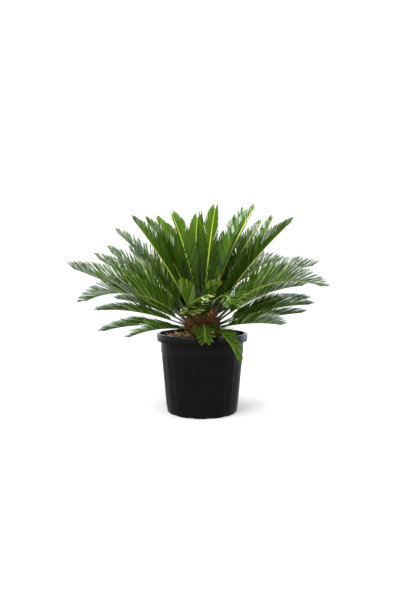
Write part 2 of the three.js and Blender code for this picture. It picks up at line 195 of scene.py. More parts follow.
# Plain colours: each is a base colour, a roughness and a specular level.
LEAF_COLOURS = {
    # shade is painted shade, for leaflets deep in the crown where little light reaches.
    "shade": ((0.020, 0.044, 0.0040), 0.55, 0.05),
    "deep": ((0.032, 0.074, 0.0045), 0.52, 0.06),
    "green": ((0.054, 0.113, 0.0045), 0.50, 0.05),
    "fresh": ((0.092, 0.175, 0.014), 0.48, 0.12),
    "lime": ((0.190, 0.280, 0.026), 0.50, 0.12),
    "mint": ((0.185, 0.290, 0.090), 0.46, 0.25),
    "dull": ((0.115, 0.180, 0.078), 0.46, 0.30),
    # The grey and blue colours are painted sheen, and pale a painted highlight: the bright
    # surroundings reflected on glossy leaflets, dealt mostly to outer ends and tips.
    "grey": ((0.215, 0.280, 0.180), 0.42, 0.50),
    "blue": ((0.200, 0.290, 0.250), 0.42, 0.55),
    "pale": ((0.400, 0.460, 0.430), 0.40, 0.55),
    "claw": ((0.500, 0.600, 0.230), 0.50, 0.20),
}
RIB_COLOURS = {
    "rib_pale": ((0.520, 0.600, 0.130), 0.45, 0.15),
    "rib_bright": ((0.330, 0.420, 0.030), 0.45, 0.15),
    "rib_green": ((0.170, 0.250, 0.022), 0.45, 0.15),
    # A darker copy of the rib colour: painted shade, for ribs and spines in the crown's shade.
    "rib_dull": ((0.075, 0.115, 0.022), 0.50, 0.15),
    "straw_rib": ((0.420, 0.480, 0.140), 0.50, 0.15),
    "petiole": ((0.085, 0.110, 0.036), 0.55, 0.20),
    # A near-black copy of the petiole colour: painted shade, for petioles deep in the crown and in
    # front of the caudex.
    "petiole_painted_shade": ((0.026, 0.030, 0.011), 0.60, 0.15),
    "petiole_foot": ((0.080, 0.042, 0.018), 0.80, 0.12),
}
CAUDEX_COLOURS = {
    "rust": ((0.210, 0.062, 0.022), 0.85, 0.15),
    "brown": ((0.105, 0.048, 0.020), 0.90, 0.12),
    "umber": ((0.040, 0.022, 0.011), 0.95, 0.10),
    "tan": ((0.330, 0.210, 0.085), 0.80, 0.18),
}
LITTER_COLOURS = {
    "straw_scale": ((0.420, 0.340, 0.130), 0.75, 0.20),
    "tan_scale": ((0.260, 0.150, 0.060), 0.80, 0.18),
    "rust_scale": ((0.170, 0.060, 0.026), 0.85, 0.15),
    "chip": ((0.050, 0.030, 0.016), 0.92, 0.12),
    "dark_chip": ((0.018, 0.012, 0.008), 0.95, 0.10),
}


def palette(colours):
    """(materials, name to slot number) of a table of plain colours."""
    materials = [plain_material(name, *values) for name, values in colours.items()]
    return materials, {name: i for i, name in enumerate(colours)}


def pick(names, slots, count):
    """A colour for each of the count, drawn from the names in a string."""
    choice = np.array([slots[name] for name in names.split()])
    return choice[rng.integers(0, len(choice), count)]


def pick_by_zone(zones, place, slots):
    """A colour for each place, which runs from 0 in the first zone to 1 in the last."""
    drawn = np.stack([pick(names, slots, len(place)) for names in zones])
    zone = np.clip((place * len(zones)).astype(int), 0, len(zones) - 1)
    return drawn[zone, np.arange(len(place))]


# ---- joined meshes ----


def unit(vectors):
    return vectors / np.linalg.norm(vectors, axis=-1, keepdims=True)


def round_angles(around):
    return 2 * math.pi * np.arange(around) / around


def turned_rings(radius, height, around):
    """Rings about the pot's axis. The radius may change round a ring, but not the height."""
    azimuth = round_angles(around)
    x, y = radius * np.cos(azimuth), radius * np.sin(azimuth)
    return np.stack([x, y, np.broadcast_to(height, x.shape)], -1)


def ring_triangles(rings, around):
    """Triangles of a tube of rings, with as many points around each."""
    low = np.arange(rings - 1)[:, None] * around + np.arange(around)[None, :]
    turn = np.arange(rings - 1)[:, None] * around + (np.arange(around)[None, :] + 1) % around
    first = np.stack([low, turn, turn + around], -1)
    second = np.stack([low, turn + around, low + around], -1)
    return np.concatenate([first.reshape(-1, 3), second.reshape(-1, 3)])


def lump_heights(points, lumps):
    """How high lumps stand at each point. lumps are pairs of a noise's scale and a height."""
    heights = [
        sum(noise.noise(Vector(point) * scale) * height for scale, height in lumps)
        for point in points.reshape(-1, 3)
    ]
    return np.reshape(heights, points.shape[:-1])


class Bundle:
    """Points, triangles and their material slots, gathered for one joined mesh."""

    def __init__(self):
        self.points = []
        self.triangles = []
        self.shades = []
        self.count = 0

    def add(self, points, triangles, shades):
        self.points.append(points.reshape(-1, 3))
        self.triangles.append(triangles.reshape(-1, 3) + self.count)
        self.shades.append(shades.reshape(-1))
        self.count += len(self.points[-1])

    def add_tube(self, rings, first_centre, last_centre, reverse=False):
        """A tube with a fan over each end. It faces outwards where it goes up, or with
        reverse where it goes down."""
        count, around = rings.shape[:2]
        here = np.arange(around)
        ahead = (here + 1) % around
        last = around * (count - 1)
        centre = np.full(around, count * around)
        first_fan = np.stack([ahead, here, centre], -1)
        last_fan = np.stack([last + here, last + ahead, centre + 1], -1)
        triangles = np.concatenate([ring_triangles(count, around), first_fan, last_fan])
        if reverse:
            triangles = triangles[:, ::-1]
        points = np.vstack([rings.reshape(-1, 3), [first_centre], [last_centre]])
        self.add(points, triangles, np.zeros(len(triangles)))

    def piece(self, name, materials, slot, nodes, sharp_angle=50):
        """Joins the mesh and seats it on the frame; edges over the sharp angle stay hard."""
        triangles = np.concatenate(self.triangles).astype(np.int32)
        mesh = bpy.data.meshes.new(name)
        mesh.vertices.add(self.count)
        mesh.vertices.foreach_set("co", np.concatenate(self.points).astype(np.float32).ravel())
        mesh.loops.add(triangles.size)
        mesh.loops.foreach_set("vertex_index", triangles.ravel())
        mesh.polygons.add(len(triangles))
        mesh.polygons.foreach_set("loop_start", np.arange(0, triangles.size, 3, dtype=np.int32))
        mesh.polygons.foreach_set("material_index", np.concatenate(self.shades).astype(np.int32))
        mesh.polygons.foreach_set("use_smooth", np.ones(len(triangles), dtype=bool))
        mesh.update(calc_edges=True)
        mesh.set_sharp_from_angle(angle=math.radians(sharp_angle))
        for material in materials:
            mesh.materials.append(material)
        piece = bpy.data.objects.new(name, mesh)
        bpy.context.collection.objects.link(piece)
        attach(piece, "root")
        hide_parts(*nodes)
        return piece


# ---- blades ----

# Thin blades, used for leaflets, spines, leaf bases, fibres and litter. Each is a closed
# ribbon of four-sided sections, an edge, a ridge, an edge and a belly, that ends in a point.
# The sections stand at shares of its length, and their widths are shares of its width.
BLADE_SHARES = np.array([0.0, 0.10, 0.30, 0.54, 0.76, 0.91, 1.0])
LEAFLET_WIDTHS = np.array([0.50, 0.92, 1.0, 0.98, 0.86, 0.56])
SPLINTER_WIDTHS = np.array([0.95, 1.0, 0.86, 0.66, 0.44, 0.24])
EDGE_DROP, RIDGE_RISE, BELLY_DROP = 0.10, 0.07, 0.03
BLADE_AROUND, TIP_SECTIONS = 4, 2
HOOK_POWER, FOOT_TWIST = 3, 0.35
DOWN = np.array([0.0, 0.0, -1.0])

Blades = namedtuple("Blades", "foot direction across length width sweep sag hook twist")


def blade_triangles():
    sections = len(BLADE_SHARES) - 1
    foot = [[0, 2, 1], [0, 3, 2]]
    sides = ring_triangles(sections, BLADE_AROUND)
    point = BLADE_AROUND * sections
    last = point - BLADE_AROUND
    tip = [[last + k, last + (k + 1) % BLADE_AROUND, point] for k in range(BLADE_AROUND)]
    return np.concatenate([foot, sides, tip])


BLADE_TRIANGLES = blade_triangles()
BLADE_TIP = BLADE_TRIANGLES.max(axis=1) >= BLADE_AROUND * (len(BLADE_SHARES) - 1 - TIP_SECTIONS)


def grow_blades(bundle, blades, widths, shades, tip_shades, keep):
    """Adds all the blades to the bundle. across is the way their flat side runs, sweep bends
    them along it, sag bends them down, hook curls their ends up out of their flat side, and
    keep is the function that keeps their points out of the pot, or inside it."""
    middles = (BLADE_SHARES[1:] + BLADE_SHARES[:-1]) / 2
    across = unit(blades.across)[:, None, :]
    flat = unit(np.cross(blades.direction, blades.across))[:, None, :]
    heading = np.repeat(blades.direction[:, None, :], len(middles), axis=1)
    heading = heading + (blades.sweep[:, None] * middles)[..., None] * across
    heading = heading + (blades.sag[:, None] * middles)[..., None] * DOWN
    heading = unit(heading + (blades.hook[:, None] * middles ** HOOK_POWER)[..., None] * flat)
    steps = heading * (blades.length[:, None] * np.diff(BLADE_SHARES))[..., None]
    line = np.concatenate([np.zeros((len(steps), 1, 3)), np.cumsum(steps, axis=1)], axis=1)
    line = line + blades.foot[:, None, :]
    course = unit(np.concatenate([heading[:, :1], heading[:, 1:] + heading[:, :-1]], axis=1))
    side = np.broadcast_to(blades.across[:, None, :], course.shape)
    side = unit(side - (side * course).sum(-1, keepdims=True) * course)
    up = np.cross(course, side)
    turn = (blades.twist[:, None] * (FOOT_TWIST + middles))[..., None]
    side, up = side * np.cos(turn) + up * np.sin(turn), up * np.cos(turn) - side * np.sin(turn)
    width = (blades.width[:, None] * widths)[..., None]
    spine = line[:, :-1]
    corners = np.stack([
        spine - side * width / 2 - up * width * EDGE_DROP,
        spine + up * width * RIDGE_RISE,
        spine + side * width / 2 - up * width * EDGE_DROP,
        spine - up * width * BELLY_DROP,
    ], axis=2)
    points = keep(np.concatenate([corners.reshape(len(line), -1, 3), line[:, -1:]], axis=1))
    offsets = np.arange(len(points))[:, None, None] * points.shape[1]
    triangles = BLADE_TRIANGLES[None] + offsets
    faces = np.where(BLADE_TIP[None, :], tip_shades[:, None], shades[:, None])
    bundle.add(points, triangles, faces)


# ---- pot ----

POT_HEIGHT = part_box("pot")[1][2]
RIM_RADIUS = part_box("pot")[1][0]
RIM_DEPTH, COLLAR_DEPTH, LIP_WIDTH = 32 * MM, 52 * MM, 14 * MM
RIM_FOOT = POT_HEIGHT - RIM_DEPTH
COLLAR_FOOT = RIM_FOOT - COLLAR_DEPTH
LIP_RADIUS = RIM_RADIUS - LIP_WIDTH
POT_WALL, POT_FLOOR, INNER_LEDGE = 3 * MM, 4 * MM, 4 * MM
HEEL_RADIUS, HEEL_ROUND, HEEL_HEIGHT = 150 * MM, 4 * MM, 10 * MM
BODY_FOOT_RADIUS, BODY_TOP_RADIUS, BODY_RINGS = 155 * MM, 178.5 * MM, 14
COLLAR_LOW_RADIUS, COLLAR_TOP_RADIUS, COLLAR_BEVEL = 181.5 * MM, 183.5 * MM, 0.3 * MM
# The collar draws in by NECK_DRAW at NECK_DEPTH below the rim, and by RIM_DRAW at the rim.
NECK_DEPTH, NECK_DRAW, RIM_DRAW = 5 * MM, 1 * MM, 0.6 * MM
RIM_STEP, RIM_STEP_RISE, RIM_STEP_SLOPE = 1.2 * MM, 17 * MM, 0.8 * MM
RIM_UNDER_ROUND, RIM_ROUND, LIP_ROUND = 2 * MM, 4.5 * MM, 2.5 * MM
POT_AROUND, POT_SHARP_ANGLE = 576, 35
# Thin upright ribs on the body. Their width is in radians, and they fade out at both ends.
FLUTES, FLUTE_WIDTH, FLUTE_RISE = 24, 0.022, 1.8 * MM
FLUTE_FOOT, FLUTE_FOOT_FADE, FLUTE_TOP_FADE = 22 * MM, 8 * MM, 6 * MM
# Drainage notches in the heel. The blocks that cut them reach a little below the pot.
SLOTS, SLOT_WIDTH, SLOT_HEIGHT, SLOT_TURN = 12, 30 * MM, 10 * MM, 11
SLOT_DEPTH, SLOT_BELOW = 16 * MM, 2 * MM
# How far other pieces keep from the pot, and how near to the rim's outer edge a leaflet
# has to be to hang down outside it.
CLEARANCE, HANG_WIDTH = 2 * MM, 16 * MM


def arc(centre, radius, start, end, steps):
    """Points of an arc in the profile's plane, in degrees from straight outwards."""
    angles = np.radians(np.linspace(start, end, steps))
    return [(centre[0] + radius * math.cos(a), centre[1] + radius * math.sin(a)) for a in angles]


def pot_profile():
    """Outline of the pot's wall from the middle of its underside round to its floor."""
    share = np.linspace(0, 1, BODY_RINGS)
    body_radii = BODY_FOOT_RADIUS + (BODY_TOP_RADIUS - BODY_FOOT_RADIUS) * share
    body_heights = HEEL_HEIGHT + (COLLAR_FOOT - HEEL_HEIGHT) * share
    under_rim = RIM_RADIUS - RIM_STEP - RIM_UNDER_ROUND
    step = RIM_FOOT + RIM_STEP_RISE
    return [
        (0.0, 0.0),
        (HEEL_RADIUS - HEEL_ROUND, 0.0),
        *arc((HEEL_RADIUS, HEEL_ROUND), HEEL_ROUND, -90, -20, 5),
        *zip(body_radii, body_heights),
        (COLLAR_LOW_RADIUS - COLLAR_BEVEL, COLLAR_FOOT),
        (COLLAR_LOW_RADIUS, COLLAR_FOOT + COLLAR_BEVEL),
        (COLLAR_TOP_RADIUS - NECK_DRAW, RIM_FOOT - NECK_DEPTH),
        (COLLAR_TOP_RADIUS - RIM_DRAW, RIM_FOOT),
        *arc((under_rim, RIM_FOOT + RIM_UNDER_ROUND), RIM_UNDER_ROUND, -90, 0, 4),
        (RIM_RADIUS - RIM_STEP, step - RIM_STEP_SLOPE),
        (RIM_RADIUS, step + RIM_STEP_SLOPE),
        *arc((RIM_RADIUS - RIM_ROUND, POT_HEIGHT - RIM_ROUND), RIM_ROUND, 0, 90, 8),
        *arc((LIP_RADIUS + LIP_ROUND, POT_HEIGHT - LIP_ROUND), LIP_ROUND, 90, 180, 5),
        (COLLAR_TOP_RADIUS - POT_WALL, RIM_FOOT + INNER_LEDGE),
        (COLLAR_LOW_RADIUS - POT_WALL, COLLAR_FOOT),
        (BODY_TOP_RADIUS - POT_WALL, COLLAR_FOOT - POT_WALL),
        (BODY_FOOT_RADIUS - POT_WALL, POT_FLOOR),
        (0.0, POT_FLOOR),
    ]


def flute_rise(azimuth, height):
    """How far the thin upright ribs moulded on the pot's body stand proud."""
    pitch = 2 * math.pi / FLUTES
    offset = (azimuth + pitch / 4) % pitch - pitch / 2
    above_heel = np.clip((height - FLUTE_FOOT) / FLUTE_FOOT_FADE, 0, 1)
    below_collar = np.clip((COLLAR_FOOT - FLUTE_TOP_FADE - height) / FLUTE_TOP_FADE, 0, 1)
    on_body = below_collar * above_heel
    return FLUTE_RISE * on_body * np.exp(-(offset / FLUTE_WIDTH) ** 2)


def slot_cutter():
    """One joined mesh of blocks that cut the drainage notches in the pot's heel."""
    inner, outer = BODY_FOOT_RADIUS - SLOT_DEPTH / 2, BODY_FOOT_RADIUS + SLOT_DEPTH / 2
    half = SLOT_WIDTH / 2
    outline = [(inner, -half), (outer, -half), (outer, half), (inner, half)]
    corners = [(x, y, z) for z in (-SLOT_BELOW, SLOT_HEIGHT) for x, y in outline]
    x, y, z = np.array(corners).T
    caps = np.array([[0, 2, 1], [0, 3, 2], [4, 5, 6], [4, 6, 7]])
    triangles = np.concatenate([ring_triangles(2, 4), caps])
    bundle = Bundle()
    for i in range(SLOTS):
        turn = math.radians(SLOT_TURN + 360 / SLOTS * i)
        cos, sin = math.cos(turn), math.sin(turn)
        points = np.stack([x * cos - y * sin, x * sin + y * cos, z], -1)
        bundle.add(points, triangles, np.zeros(len(triangles)))
    points, triangles = np.concatenate(bundle.points), np.concatenate(bundle.triangles)
    mesh = bpy.data.meshes.new("slot_cutter")
    mesh.from_pydata(points.tolist(), [], triangles.tolist())
    cutter = bpy.data.objects.new("slot_cutter", mesh)
    bpy.context.collection.objects.link(cutter)
    return cutter


def cut_slots(pot):
    cutter = slot_cutter()
    cut = pot.modifiers.new("notches", "BOOLEAN")
    cut.object = cutter
    cut.operation = "DIFFERENCE"
    cut.solver = "EXACT"
    bpy.context.view_layer.objects.active = pot
    bpy.ops.object.modifier_apply(modifier=cut.name)
    bpy.data.objects.remove(cutter)
    pot.data.set_sharp_from_angle(angle=math.radians(POT_SHARP_ANGLE))


def pot_material():
    """Satin black plastic: faint dust and scuffs in its roughness, and a moulded grain."""
    stops = [
        (0.30, (0.0036, 0.0037, 0.0040)),
        (0.55, (0.0039, 0.0040, 0.0043)),
        (0.80, (0.0046, 0.0046, 0.0050)),
    ]
    return patterned_material(
        "black_plastic", stops, scale=14, roughness=(0.20, 0.26), specular=0.13, bump=0.01 * MM,
    )


def add_pot():
    profile = np.array(pot_profile())
    radius, height = profile[1:-1, :1], profile[1:-1, 1:]
    rings = turned_rings(radius + flute_rise(round_angles(POT_AROUND), height), height, POT_AROUND)
    bundle = Bundle()
    bundle.add_tube(rings, [0, 0, profile[0, 1]], [0, 0, profile[-1, 1]])
    pot = bundle.piece("pot_shell", [pot_material()], "pot", ["pot"], POT_SHARP_ANGLE)
    cut_slots(pot)


def keep_off_pot(points):
    """Moves points out of the pot's rim and the potting mix: up over them, or outwards."""
    radius = np.hypot(points[..., 0], points[..., 1])
    height = points[..., 2]
    low = height < POT_HEIGHT - 2 * CLEARANCE
    over_rim = (radius > LIP_RADIUS - CLEARANCE) & (radius < RIM_RADIUS + CLEARANCE)
    in_rim = over_rim & (height < POT_HEIGHT + CLEARANCE) & (height > RIM_FOOT - 2 * CLEARANCE)
    hangs = in_rim & low & (radius > RIM_RADIUS - HANG_WIDTH)
    in_mix = low & (radius <= LIP_RADIUS - CLEARANCE)
    grown = np.where(hangs, (RIM_RADIUS + CLEARANCE) / np.maximum(radius, CLEARANCE), 1.0)
    moved = points.copy()
    moved[..., :2] *= grown[..., None]
    moved[..., 2] = np.where(in_rim & ~hangs, POT_HEIGHT + CLEARANCE, moved[..., 2])
    moved[..., 2] = np.where(in_mix, POT_HEIGHT - 2 * CLEARANCE, moved[..., 2])
    return moved


# ---- potting mix ----

MIX_EDGE, MIX_SHOULDER, MIX_CROWN = 326 * MM, 334 * MM, 339 * MM
MIX_RADIUS = LIP_RADIUS - 3.4 * MM
MIX_SHOULDER_RADIUS, MIX_CROWN_RADIUS, MIX_FIRST_RADIUS = 135 * MM, 92 * MM, 4 * MM
MIX_GAP, MIX_LEDGE = 0.4 * MM, 2 * MM
MIX_WALL = np.array([
    (COLLAR_TOP_RADIUS - POT_WALL - MIX_GAP, RIM_FOOT + MIX_LEDGE),
    (COLLAR_LOW_RADIUS - POT_WALL - MIX_GAP, COLLAR_FOOT),
    (BODY_TOP_RADIUS - POT_WALL - MIX_GAP, COLLAR_FOOT - POT_WALL),
    (BODY_FOOT_RADIUS - POT_WALL - MIX_GAP, POT_FLOOR + MIX_GAP),
])
MIX_RINGS, MIX_AROUND, MIX_FLAT_RINGS = 46, 180, 2
MIX_LUMPS = ((60, 2.6 * MM), (190, 1.8 * MM))


def mix_height(radius):
    radii = [0, MIX_CROWN_RADIUS, MIX_SHOULDER_RADIUS, MIX_RADIUS]
    return np.interp(radius, radii, [MIX_CROWN, MIX_CROWN, MIX_SHOULDER, MIX_EDGE])


def mix_material():
    """Dark bark and compost."""
    stops = [
        (0.32, (0.009, 0.006, 0.004)),
        (0.52, (0.030, 0.018, 0.010)),
        (0.72, (0.085, 0.052, 0.027)),
    ]
    return patterned_material(
        "potting_mix", stops, scale=130, roughness=(0.85, 1.0), specular=0.1, bump=1.5 * MM,
    )


def add_mix():
    """The mix: a lumpy mound on top, and walls that follow the inside of the pot."""
    mound_radii = np.linspace(MIX_FIRST_RADIUS, MIX_RADIUS, MIX_RINGS)
    radii = np.concatenate([mound_radii, MIX_WALL[:, 0]])
    heights = np.concatenate([mix_height(mound_radii), MIX_WALL[:, 1]])
    rings = turned_rings(radii[:, None], heights[:, None], MIX_AROUND)
    mound = rings[MIX_FLAT_RINGS:MIX_RINGS - 1]
    mound[..., 2] += lump_heights(mound, MIX_LUMPS)
    bundle = Bundle()
    bundle.add_tube(rings, [0, 0, MIX_CROWN], [0, 0, heights[-1]], reverse=True)
    materials = [mix_material()]
    bundle.piece("potting_mix_surface", materials, "potting_mix", ["potting_mix"], sharp_angle=60)


# ---- litter ----

# What lies on the mix: how many, between which radii, in which sector in degrees, how high
# over the mix, lengths and widths in millimetres, the mean and spread of the curl, colours.
Litter = namedtuple(
    "Litter", "name count reach sector above lengths widths curl shades tips sharp_angle",
)

LITTER = (
    Litter(
        "bark_chips", 1500, reach=(66 * MM, 180 * MM), sector=(0, 360), above=1.5 * MM,
        lengths=(4, 15), widths=(3, 8), curl=(0, 0.4),
        shades="chip dark_chip dark_chip dark_chip rust_scale", tips="", sharp_angle=30,
    ),
    Litter(
        "fallen_scales", 46, reach=(84 * MM, 168 * MM), sector=(190, 245), above=7.5 * MM,
        lengths=(22, 48), widths=(4, 8), curl=(1.6, 0.9),
        shades="straw_scale straw_scale tan_scale rust_scale", tips="straw_scale tan_scale",
        sharp_angle=60,
    ),
)
LITTER_RISES, LITTER_TILT = (0.0, 0.5), 0.35
LITTER_SWEEP, LITTER_SAG, LITTER_TWIST = 0.5, 0.3, 0.5


def lying_blades(kind):
    """Flat bits strewn evenly over a part of the mix, each lying its own way."""
    count = kind.count
    azimuth = np.radians(rng.uniform(*kind.sector, count))
    radius = np.sqrt(rng.uniform(kind.reach[0] ** 2, kind.reach[1] ** 2, count))
    points = np.stack([radius * np.cos(azimuth), radius * np.sin(azimuth), mix_height(radius)], -1)
    heading = rng.uniform(0, 2 * math.pi, count)
    rise = rng.uniform(*LITTER_RISES, count)
    direction = unit(np.stack([np.cos(heading), np.sin(heading), rise], -1))
    length = rng.uniform(*kind.lengths, count) * MM
    width = rng.uniform(*kind.widths, count) * MM
    hook = rng.normal(*kind.curl, count)
    across = unit(np.cross(direction, DOWN) + rng.normal(0, LITTER_TILT, (count, 3)))
    return Blades(
        foot=points - direction * (length / 2)[:, None] + [0, 0, kind.above],
        direction=direction,
        across=across,
        length=length,
        width=width,
        sweep=rng.normal(0, LITTER_SWEEP, count),
        sag=np.full(count, LITTER_SAG),
        hook=hook,
        twist=rng.normal(0, LITTER_TWIST, count),
    )


def keep_in_pot(points):
    """Pulls points that would pass the rim's inner edge back to it."""
    radius = np.hypot(points[..., 0], points[..., 1])
    limit = LIP_RADIUS - 2 * CLEARANCE
    moved = points.copy()
    moved[..., :2] *= (limit / np.maximum(radius, limit))[..., None]
    moved[..., 2] = np.maximum(moved[..., 2], MIX_EDGE - CLEARANCE)
    return moved


def add_litter():
    materials, slots = palette(LITTER_COLOURS)
    for kind in LITTER:
        blades = lying_blades(kind)
        shades = tips = pick(kind.shades, slots, kind.count)
        if kind.tips:
            tips = pick(kind.tips, slots, kind.count)
        bundle = Bundle()
        grow_blades(bundle, blades, SPLINTER_WIDTHS, shades, tips, keep_in_pot)
        bundle.piece(kind.name, materials, "potting_mix", ["potting_mix"], kind.sharp_angle)


# ---- caudex ----

# Places on the caudex go by their climb, from 0 at its foot to 1 at its top. Its dome
# begins at DOME_START, and below that it is nearly straight.
CAUDEX_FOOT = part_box("caudex")[0][2]
CAUDEX_RADIUS, CAUDEX_FOOT_SHARE = 76 * MM, 0.94
CAUDEX_DOME_BASE, CAUDEX_DOME_HEIGHT, DOME_START = 364 * MM, 82 * MM, 0.22
CORE_AROUND, CORE_RINGS, CORE_TOP = 96, 34, 0.985
CORE_LUMPS = ((55, 4 * MM), (140, 2 * MM))

# What grows on the caudex: how many, how far out their feet are as a share of its radius,
# lengths and widths in millimetres, and how much their bends differ.
Growth = namedtuple("Growth", "count sink lengths widths sweep sag hook twist")

LEAF_BASE = Growth(
    210, sink=0.93, lengths=(20, 36), widths=(9, 16), sweep=0.15, sag=0.6, hook=0.5, twist=0.2,
)
FIBRE = Growth(
    2600, sink=0.98, lengths=(6, 17), widths=(0.5, 1.3), sweep=0.9, sag=0.3, hook=1.0, twist=0.0,
)
GOLDEN_ANGLE = math.pi * (3 - math.sqrt(5))
SPIRAL_START, SPIRAL_CLIMB, SPIRAL_POWER = 0.05, 0.9, 0.85
BASE_TILTS, BASE_TILT_SCATTER, BASE_FACE = (52, 88), 5, (0, 0, -0.3)
FIBRE_CLIMBS, FIBRE_RISE, FIBRE_SCATTER = (0.02, 0.96), 0.85, 0.55
# The colours of leaf bases and fibres in zones from the caudex's foot to its top, and how
# far up their tips start to be paler. The zones grow darker towards the foot: painted shade.
BARK_AND_PAINTED_SHADE_ZONES = (
    "umber umber brown", "umber brown", "rust brown", "rust rust brown tan", "rust brown umber",
)
BARK_TIPS, BARK_TIP_CLIMB = "tan rust brown", 0.4


def dome_point(climb, azimuth, grow=1.0):
    """A place on the caudex, or with grow on one that is as much larger."""
    latitude = np.clip((climb - DOME_START) / (1 - DOME_START), 0, 1) * math.pi / 2
    low = np.interp(climb, [0, DOME_START], [CAUDEX_FOOT, CAUDEX_DOME_BASE])
    high = CAUDEX_DOME_BASE + CAUDEX_DOME_HEIGHT * np.sin(latitude)
    height = np.where(climb < DOME_START, low, high)
    swell = np.interp(climb, [0, DOME_START], [CAUDEX_FOOT_SHARE, 1])
    radius = CAUDEX_RADIUS * grow * np.cos(latitude) * swell
    return np.stack([radius * np.cos(azimuth), radius * np.sin(azimuth), height], -1)


def bark_material():
    """Dark red-brown felt, paler on its lumps."""
    stops = [
        (0.30, (0.020, 0.011, 0.006)),
        (0.50, (0.075, 0.030, 0.013)),
        (0.68, (0.170, 0.062, 0.024)),
    ]
    return patterned_material(
        "caudex_bark", stops, scale=90, roughness=(0.8, 0.98), specular=0.12, bump=1.2 * MM,
    )


def add_core():
    """The stem itself, with lumps as large as its leaf bases and furrows between them."""
    climb = np.repeat(np.linspace(0, CORE_TOP, CORE_RINGS), CORE_AROUND)
    points = dome_point(climb, np.tile(round_angles(CORE_AROUND), CORE_RINGS))
    outward = unit(points - [0, 0, CAUDEX_DOME_BASE])
    points = points + outward * lump_heights(points, CORE_LUMPS)[:, None]
    points[:, 2] = np.maximum(points[:, 2], CAUDEX_FOOT)
    rings = points.reshape(CORE_RINGS, CORE_AROUND, 3)
    bundle = Bundle()
    bundle.add_tube(rings, [0, 0, CAUDEX_FOOT], rings[-1].mean(axis=0))
    bundle.piece("caudex_core", [bark_material()], "caudex", ["caudex"], sharp_angle=180)


def add_leaf_bases(materials, slots):
    """Stubs of old leaves in a spiral, felted and pointed, the upper ones steeper."""
    kind, count = LEAF_BASE, LEAF_BASE.count
    index = np.arange(count)
    climb = SPIRAL_START + SPIRAL_CLIMB * (index / count) ** SPIRAL_POWER
    azimuth = index * GOLDEN_ANGLE
    outward = np.stack([np.cos(azimuth), np.sin(azimuth), np.zeros(count)], -1)
    tilt = np.interp(climb, [0, 1], BASE_TILTS) + rng.normal(0, BASE_TILT_SCATTER, count)
    tilt = np.radians(tilt)
    direction = outward * np.cos(tilt)[:, None]
    direction[:, 2] = np.sin(tilt)
    blades = Blades(
        foot=dome_point(climb, azimuth, kind.sink),
        direction=unit(direction),
        across=np.cross(direction, outward + BASE_FACE),
        length=rng.uniform(*kind.lengths, count) * MM,
        width=rng.uniform(*kind.widths, count) * MM,
        sweep=rng.normal(0, kind.sweep, count),
        sag=-rng.uniform(0, kind.sag, count),
        hook=rng.normal(0, kind.hook, count),
        twist=rng.normal(0, kind.twist, count),
    )
    shades = pick_by_zone(BARK_AND_PAINTED_SHADE_ZONES, climb, slots)
    tips = np.where(climb > BARK_TIP_CLIMB, pick(BARK_TIPS, slots, count), shades)
    bundle = Bundle()
    grow_blades(bundle, blades, SPLINTER_WIDTHS, shades, tips, keep_off_pot)
    bundle.piece("caudex_leaf_bases", materials, "caudex", ["caudex"], sharp_angle=40)


def add_fibres(materials, slots):
    """Loose felt fibres that stand out of the leaf bases all over the caudex."""
    kind, count = FIBRE, FIBRE.count
    climb = rng.uniform(*FIBRE_CLIMBS, count)
    azimuth = rng.uniform(0, 2 * math.pi, count)
    outward = np.stack([np.cos(azimuth), np.sin(azimuth), np.full(count, FIBRE_RISE)], -1)
    direction = unit(outward + rng.normal(0, FIBRE_SCATTER, (count, 3)))
    blades = Blades(
        foot=dome_point(climb, azimuth, kind.sink),
        direction=direction,
        across=unit(np.cross(direction, rng.normal(0, 1, (count, 3)))),
        length=rng.uniform(*kind.lengths, count) * MM,
        width=rng.uniform(*kind.widths, count) * MM,
        sweep=rng.normal(0, kind.sweep, count),
        sag=rng.normal(0, kind.sag, count),
        hook=rng.normal(0, kind.hook, count),
        twist=np.full(count, kind.twist),
    )
    shades = pick_by_zone(BARK_AND_PAINTED_SHADE_ZONES, climb, slots)
    bundle = Bundle()
    grow_blades(bundle, blades, SPLINTER_WIDTHS, shades, shades, keep_off_pot)
    bundle.piece("caudex_fibres", materials, "caudex", ["caudex"], sharp_angle=80)


def add_caudex():
    add_core()
    materials, slots = palette(CAUDEX_COLOURS)
    add_leaf_bases(materials, slots)
    add_fibres(materials, slots)


# ---- fronds ----

# The crown grows by the rule and rows of the CAD part. A frond's foot sits on a dome, and
# its latitude goes up with its rise, faster beyond STEEP_RISE. Rows are in millimetres and
# degrees: name, azimuth, rise, length, droop, swing, leaflet length, fold, opening.
SEAT_RADIUS, SEAT_BASE, SEAT_HEIGHT = 72 * MM, 359 * MM, 85 * MM
LATITUDE_PER_RISE = 0.6
STEEP_RISE, STEEP_LATITUDE, TOP_LATITUDE = 45, 1.5, 80
PETIOLE_SHARE, RIB_TAPER = 0.17, 0.32
BEND_POWER = 1.4
PATH_STEPS = 60
OPENING_SPREAD = 24

Frond = namedtuple("Frond", "name azimuth rise length droop swing leaflet fold opening")

